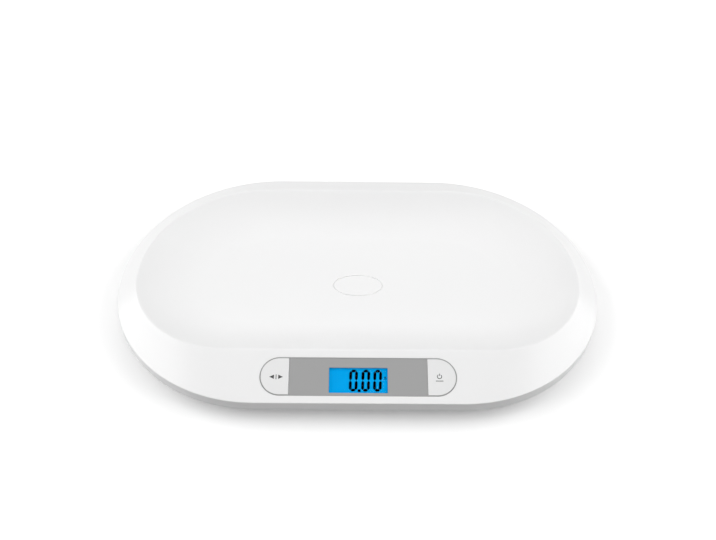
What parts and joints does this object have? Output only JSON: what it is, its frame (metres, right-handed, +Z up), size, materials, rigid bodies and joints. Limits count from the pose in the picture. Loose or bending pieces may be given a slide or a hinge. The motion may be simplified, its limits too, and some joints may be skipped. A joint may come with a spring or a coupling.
{
  "type": "baby weighing scale",
  "caption": "Low digital scale with a dished platform for weighing a lying baby, a sloped front strip with a window and push buttons, and feet on load cells.",
  "frame": {"origin": "on the resting surface, under the middle of the platform's outline", "axes": "+X along the platform to the right, +Y from the display to the rear, +Z up"},
  "size_m": [0.55, 0.345, 0.0461],
  "materials": {
    "platform_white": "gloss moulded ABS",
    "base_white": "fine matt moulded ABS",
    "rim_grey": "satin grey",
    "panel_grey": "smooth satin grey",
    "window_clear": "clear, polished",
    "lcd_blue": "back-lit blue liquid crystal glass",
    "guide_white": "diffusing",
    "holder_white": "matt",
    "contact_rubber": "matt",
    "board_green": "solder mask",
    "chip_black": "cured resin",
    "switch_black": "matt",
    "screw_steel": "zinc-plated",
    "button_white": "satin-gloss moulded ABS",
    "battery_sleeve": "printed sleeve, bare of text",
    "contact_nickel": "nickel-plated spring steel",
    "lead_red": "flexible sleeve",
    "lead_grey": "flexible sleeve",
    "cell_steel": "stamped and ground",
    "foot_grey": "matt",
    "pad_rubber": "matt"
  },
  "bodies": {
    "root": {"tray_shell": "platform_white", "base_pan": "base_white", "strip_rim": "rim_grey", "display_panel": "panel_grey", "window_lens": "window_clear", "lcd_cell": "lcd_blue", "light_guide": "guide_white", "display_holder": "holder_white", "contact_strip": "contact_rubber", "display_board": "board_green", "controller_chip": "chip_black", "key_switches": "switch_black", "board_screws": "screw_steel", "battery_cells": "battery_sleeve", "battery_contacts": "contact_nickel", "battery_leads": "lead_red", "load_cell_front_left": "cell_steel", "load_cell_front_right": "cell_steel", "load_cell_rear_left": "cell_steel", "load_cell_rear_right": "cell_steel", "cell_carrier_front_left": "holder_white", "cell_carrier_front_right": "holder_white", "cell_carrier_rear_left": "holder_white", "cell_carrier_rear_right": "holder_white", "foot_front_left": "foot_grey", "foot_front_right": "foot_grey", "foot_rear_left": "foot_grey", "foot_rear_right": "foot_grey", "foot_pad_front_left": "pad_rubber", "foot_pad_front_right": "pad_rubber", "foot_pad_rear_left": "pad_rubber", "foot_pad_rear_right": "pad_rubber", "sensor_leads": "lead_grey", "housing_screws": "screw_steel"},
    "unit_button": {"unit_button": "button_white", "unit_plunger": "switch_black"},
    "power_button": {"power_button": "button_white", "power_plunger": "switch_black"},
    "battery_door": {"battery_door": "base_white"}
  },
  "joints": [
    {"name": "unit_press", "type": "slide", "parent": "root", "child": "unit_button", "axis": [0, 0.2918, -0.9565], "range_m": [0, 0.0006], "stiffness_N_per_m": 1500, "springref_m": -0.0004},
    {"name": "power_press", "type": "slide", "parent": "root", "child": "power_button", "axis": [0, 0.2918, -0.9565], "range_m": [0, 0.0006], "stiffness_N_per_m": 1500, "springref_m": -0.0004},
    {"name": "battery_door_hinge", "type": "hinge", "parent": "root", "child": "battery_door", "pos_m": [0, -0.12225, 0.0075], "axis": [1, 0, 0], "range_deg": [0, 80]}
  ]
}
